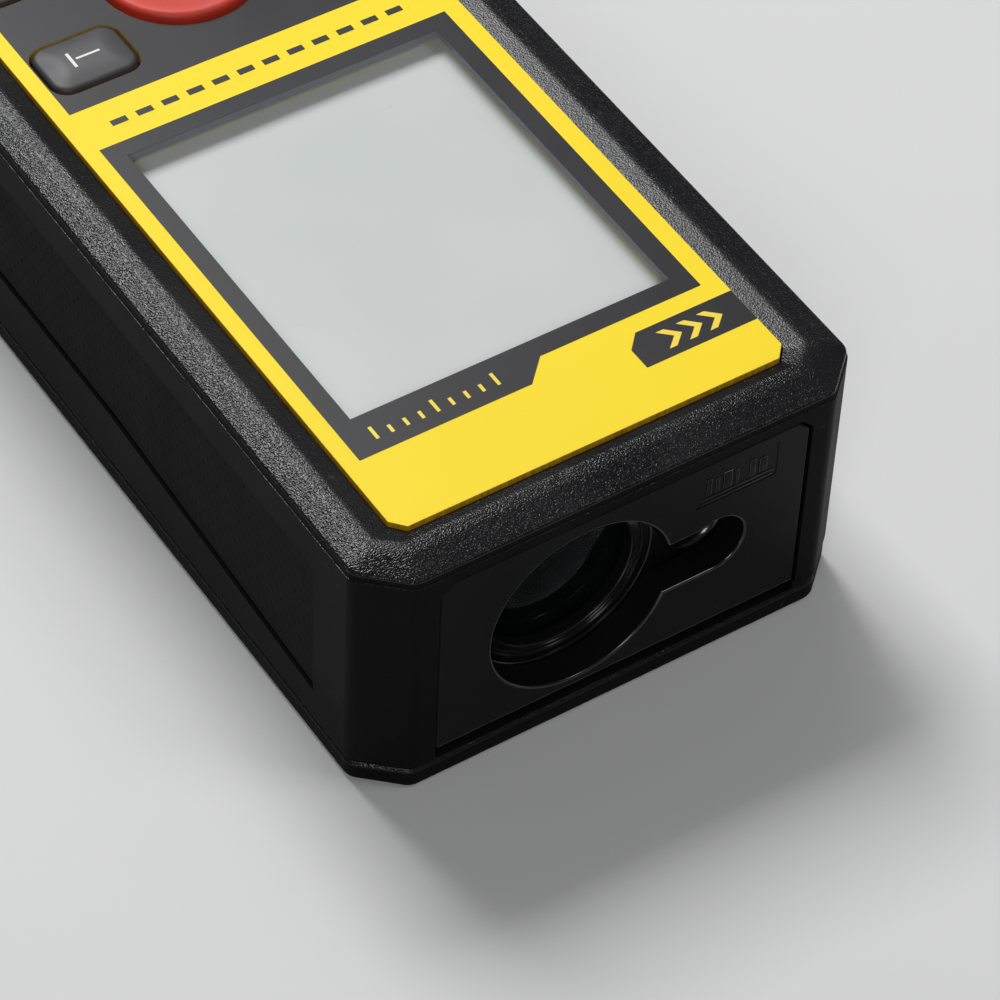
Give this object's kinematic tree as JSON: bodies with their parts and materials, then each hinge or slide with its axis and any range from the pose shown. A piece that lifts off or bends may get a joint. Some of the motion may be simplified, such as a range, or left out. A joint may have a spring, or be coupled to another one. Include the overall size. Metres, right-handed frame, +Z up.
{
  "type": "laser distance meter",
  "caption": "Hand-held laser distance meter with a bevelled case, printed face, display, travelling keys, keyhole optics at the laser end and a sliding battery door.",
  "frame": {"origin": "middle of the footprint, on the surface that the back rests on", "axes": "+Z up out of the display, -Y the way the laser leaves, +Y the hand end, +X the user's left"},
  "size_m": [0.05, 0.112, 0.0281],
  "materials": {
    "housing": "fine spark grain",
    "bezel": "smooth satin",
    "grip": "fine dotted soft grip",
    "panel": "printed face plate, satin",
    "clear": "clear pane",
    "display": "pale grey-green display glass",
    "white": "white moulding",
    "measure": "red silicone, satin",
    "key": "dark grey silicone, satin",
    "silicone": "black silicone sheet",
    "board": "green solder mask",
    "chip": "moulded component",
    "casting": "die cast, black anodised",
    "brass": "turned, black nickel plated",
    "steel": "plated",
    "lens": "coated optical glass",
    "cell": "plain sleeved cell",
    "label": "blank satin plate"
  },
  "bodies": {
    "case": {"front_shell": "housing", "rear_shell": "housing", "side_grip_left": "grip", "side_grip_right": "grip", "rear_label": "label", "shell_screw_front_left": "steel", "shell_screw_front_right": "steel", "shell_screw_rear_left": "steel", "shell_screw_rear_right": "steel", "face_panel": "panel", "display_window": "clear", "lcd_glass": "display", "lcd_backlight": "white", "lcd_frame": "white", "keypad_membrane": "silicone", "front_bezel": "bezel", "optics_chassis": "casting", "lens_ring": "bezel", "receiver_lens": "lens", "laser_tube": "brass", "laser_lens": "lens", "laser_diode": "steel", "laser_board": "board", "optical_filter": "lens", "photodiode": "steel", "receiver_board": "board", "chassis_screw_left": "steel", "chassis_screw_right": "steel", "main_board": "board", "processor_chip": "chip", "buzzer": "chip", "battery_right": "cell", "battery_left": "cell", "contact_plate_right": "steel", "contact_plate_left": "steel", "contact_spring_right": "steel", "contact_spring_left": "steel"},
    "measure_button_body": {"measure_button": "measure"},
    "key_area_body": {"key_area": "key"},
    "key_reference_body": {"key_reference": "key"},
    "key_plus_body": {"key_plus": "key"},
    "key_minus_body": {"key_minus": "key"},
    "key_memory_body": {"key_memory": "key"},
    "key_units_body": {"key_units": "key"},
    "key_clear_body": {"key_clear": "key"},
    "door": {"battery_door": "housing"}
  },
  "joints": [
    {"name": "measure_press", "type": "slide", "parent": "case", "child": "measure_button_body", "axis": [0, 0, -1], "range_m": [0, 0.0007], "stiffness_N_per_m": 1500, "springref_m": -0.0005},
    {"name": "area_press", "type": "slide", "parent": "case", "child": "key_area_body", "axis": [0, 0, -1], "range_m": [0, 0.0006], "stiffness_N_per_m": 1500, "springref_m": -0.0004},
    {"name": "reference_press", "type": "slide", "parent": "case", "child": "key_reference_body", "axis": [0, 0, -1], "range_m": [0, 0.0006], "stiffness_N_per_m": 1500, "springref_m": -0.0004},
    {"name": "plus_press", "type": "slide", "parent": "case", "child": "key_plus_body", "axis": [0, 0, -1], "range_m": [0, 0.0006], "stiffness_N_per_m": 1500, "springref_m": -0.0004},
    {"name": "minus_press", "type": "slide", "parent": "case", "child": "key_minus_body", "axis": [0, 0, -1], "range_m": [0, 0.0006], "stiffness_N_per_m": 1500, "springref_m": -0.0004},
    {"name": "memory_press", "type": "slide", "parent": "case", "child": "key_memory_body", "axis": [0, 0, -1], "range_m": [0, 0.0006], "stiffness_N_per_m": 1500, "springref_m": -0.0004},
    {"name": "units_press", "type": "slide", "parent": "case", "child": "key_units_body", "axis": [0, 0, -1], "range_m": [0, 0.0006], "stiffness_N_per_m": 1500, "springref_m": -0.0004},
    {"name": "clear_press", "type": "slide", "parent": "case", "child": "key_clear_body", "axis": [0, 0, -1], "range_m": [0, 0.0006], "stiffness_N_per_m": 1500, "springref_m": -0.0004},
    {"name": "door_slide", "type": "slide", "parent": "case", "child": "door", "axis": [0, 1, 0], "range_m": [0, 0.048]}
  ]
}
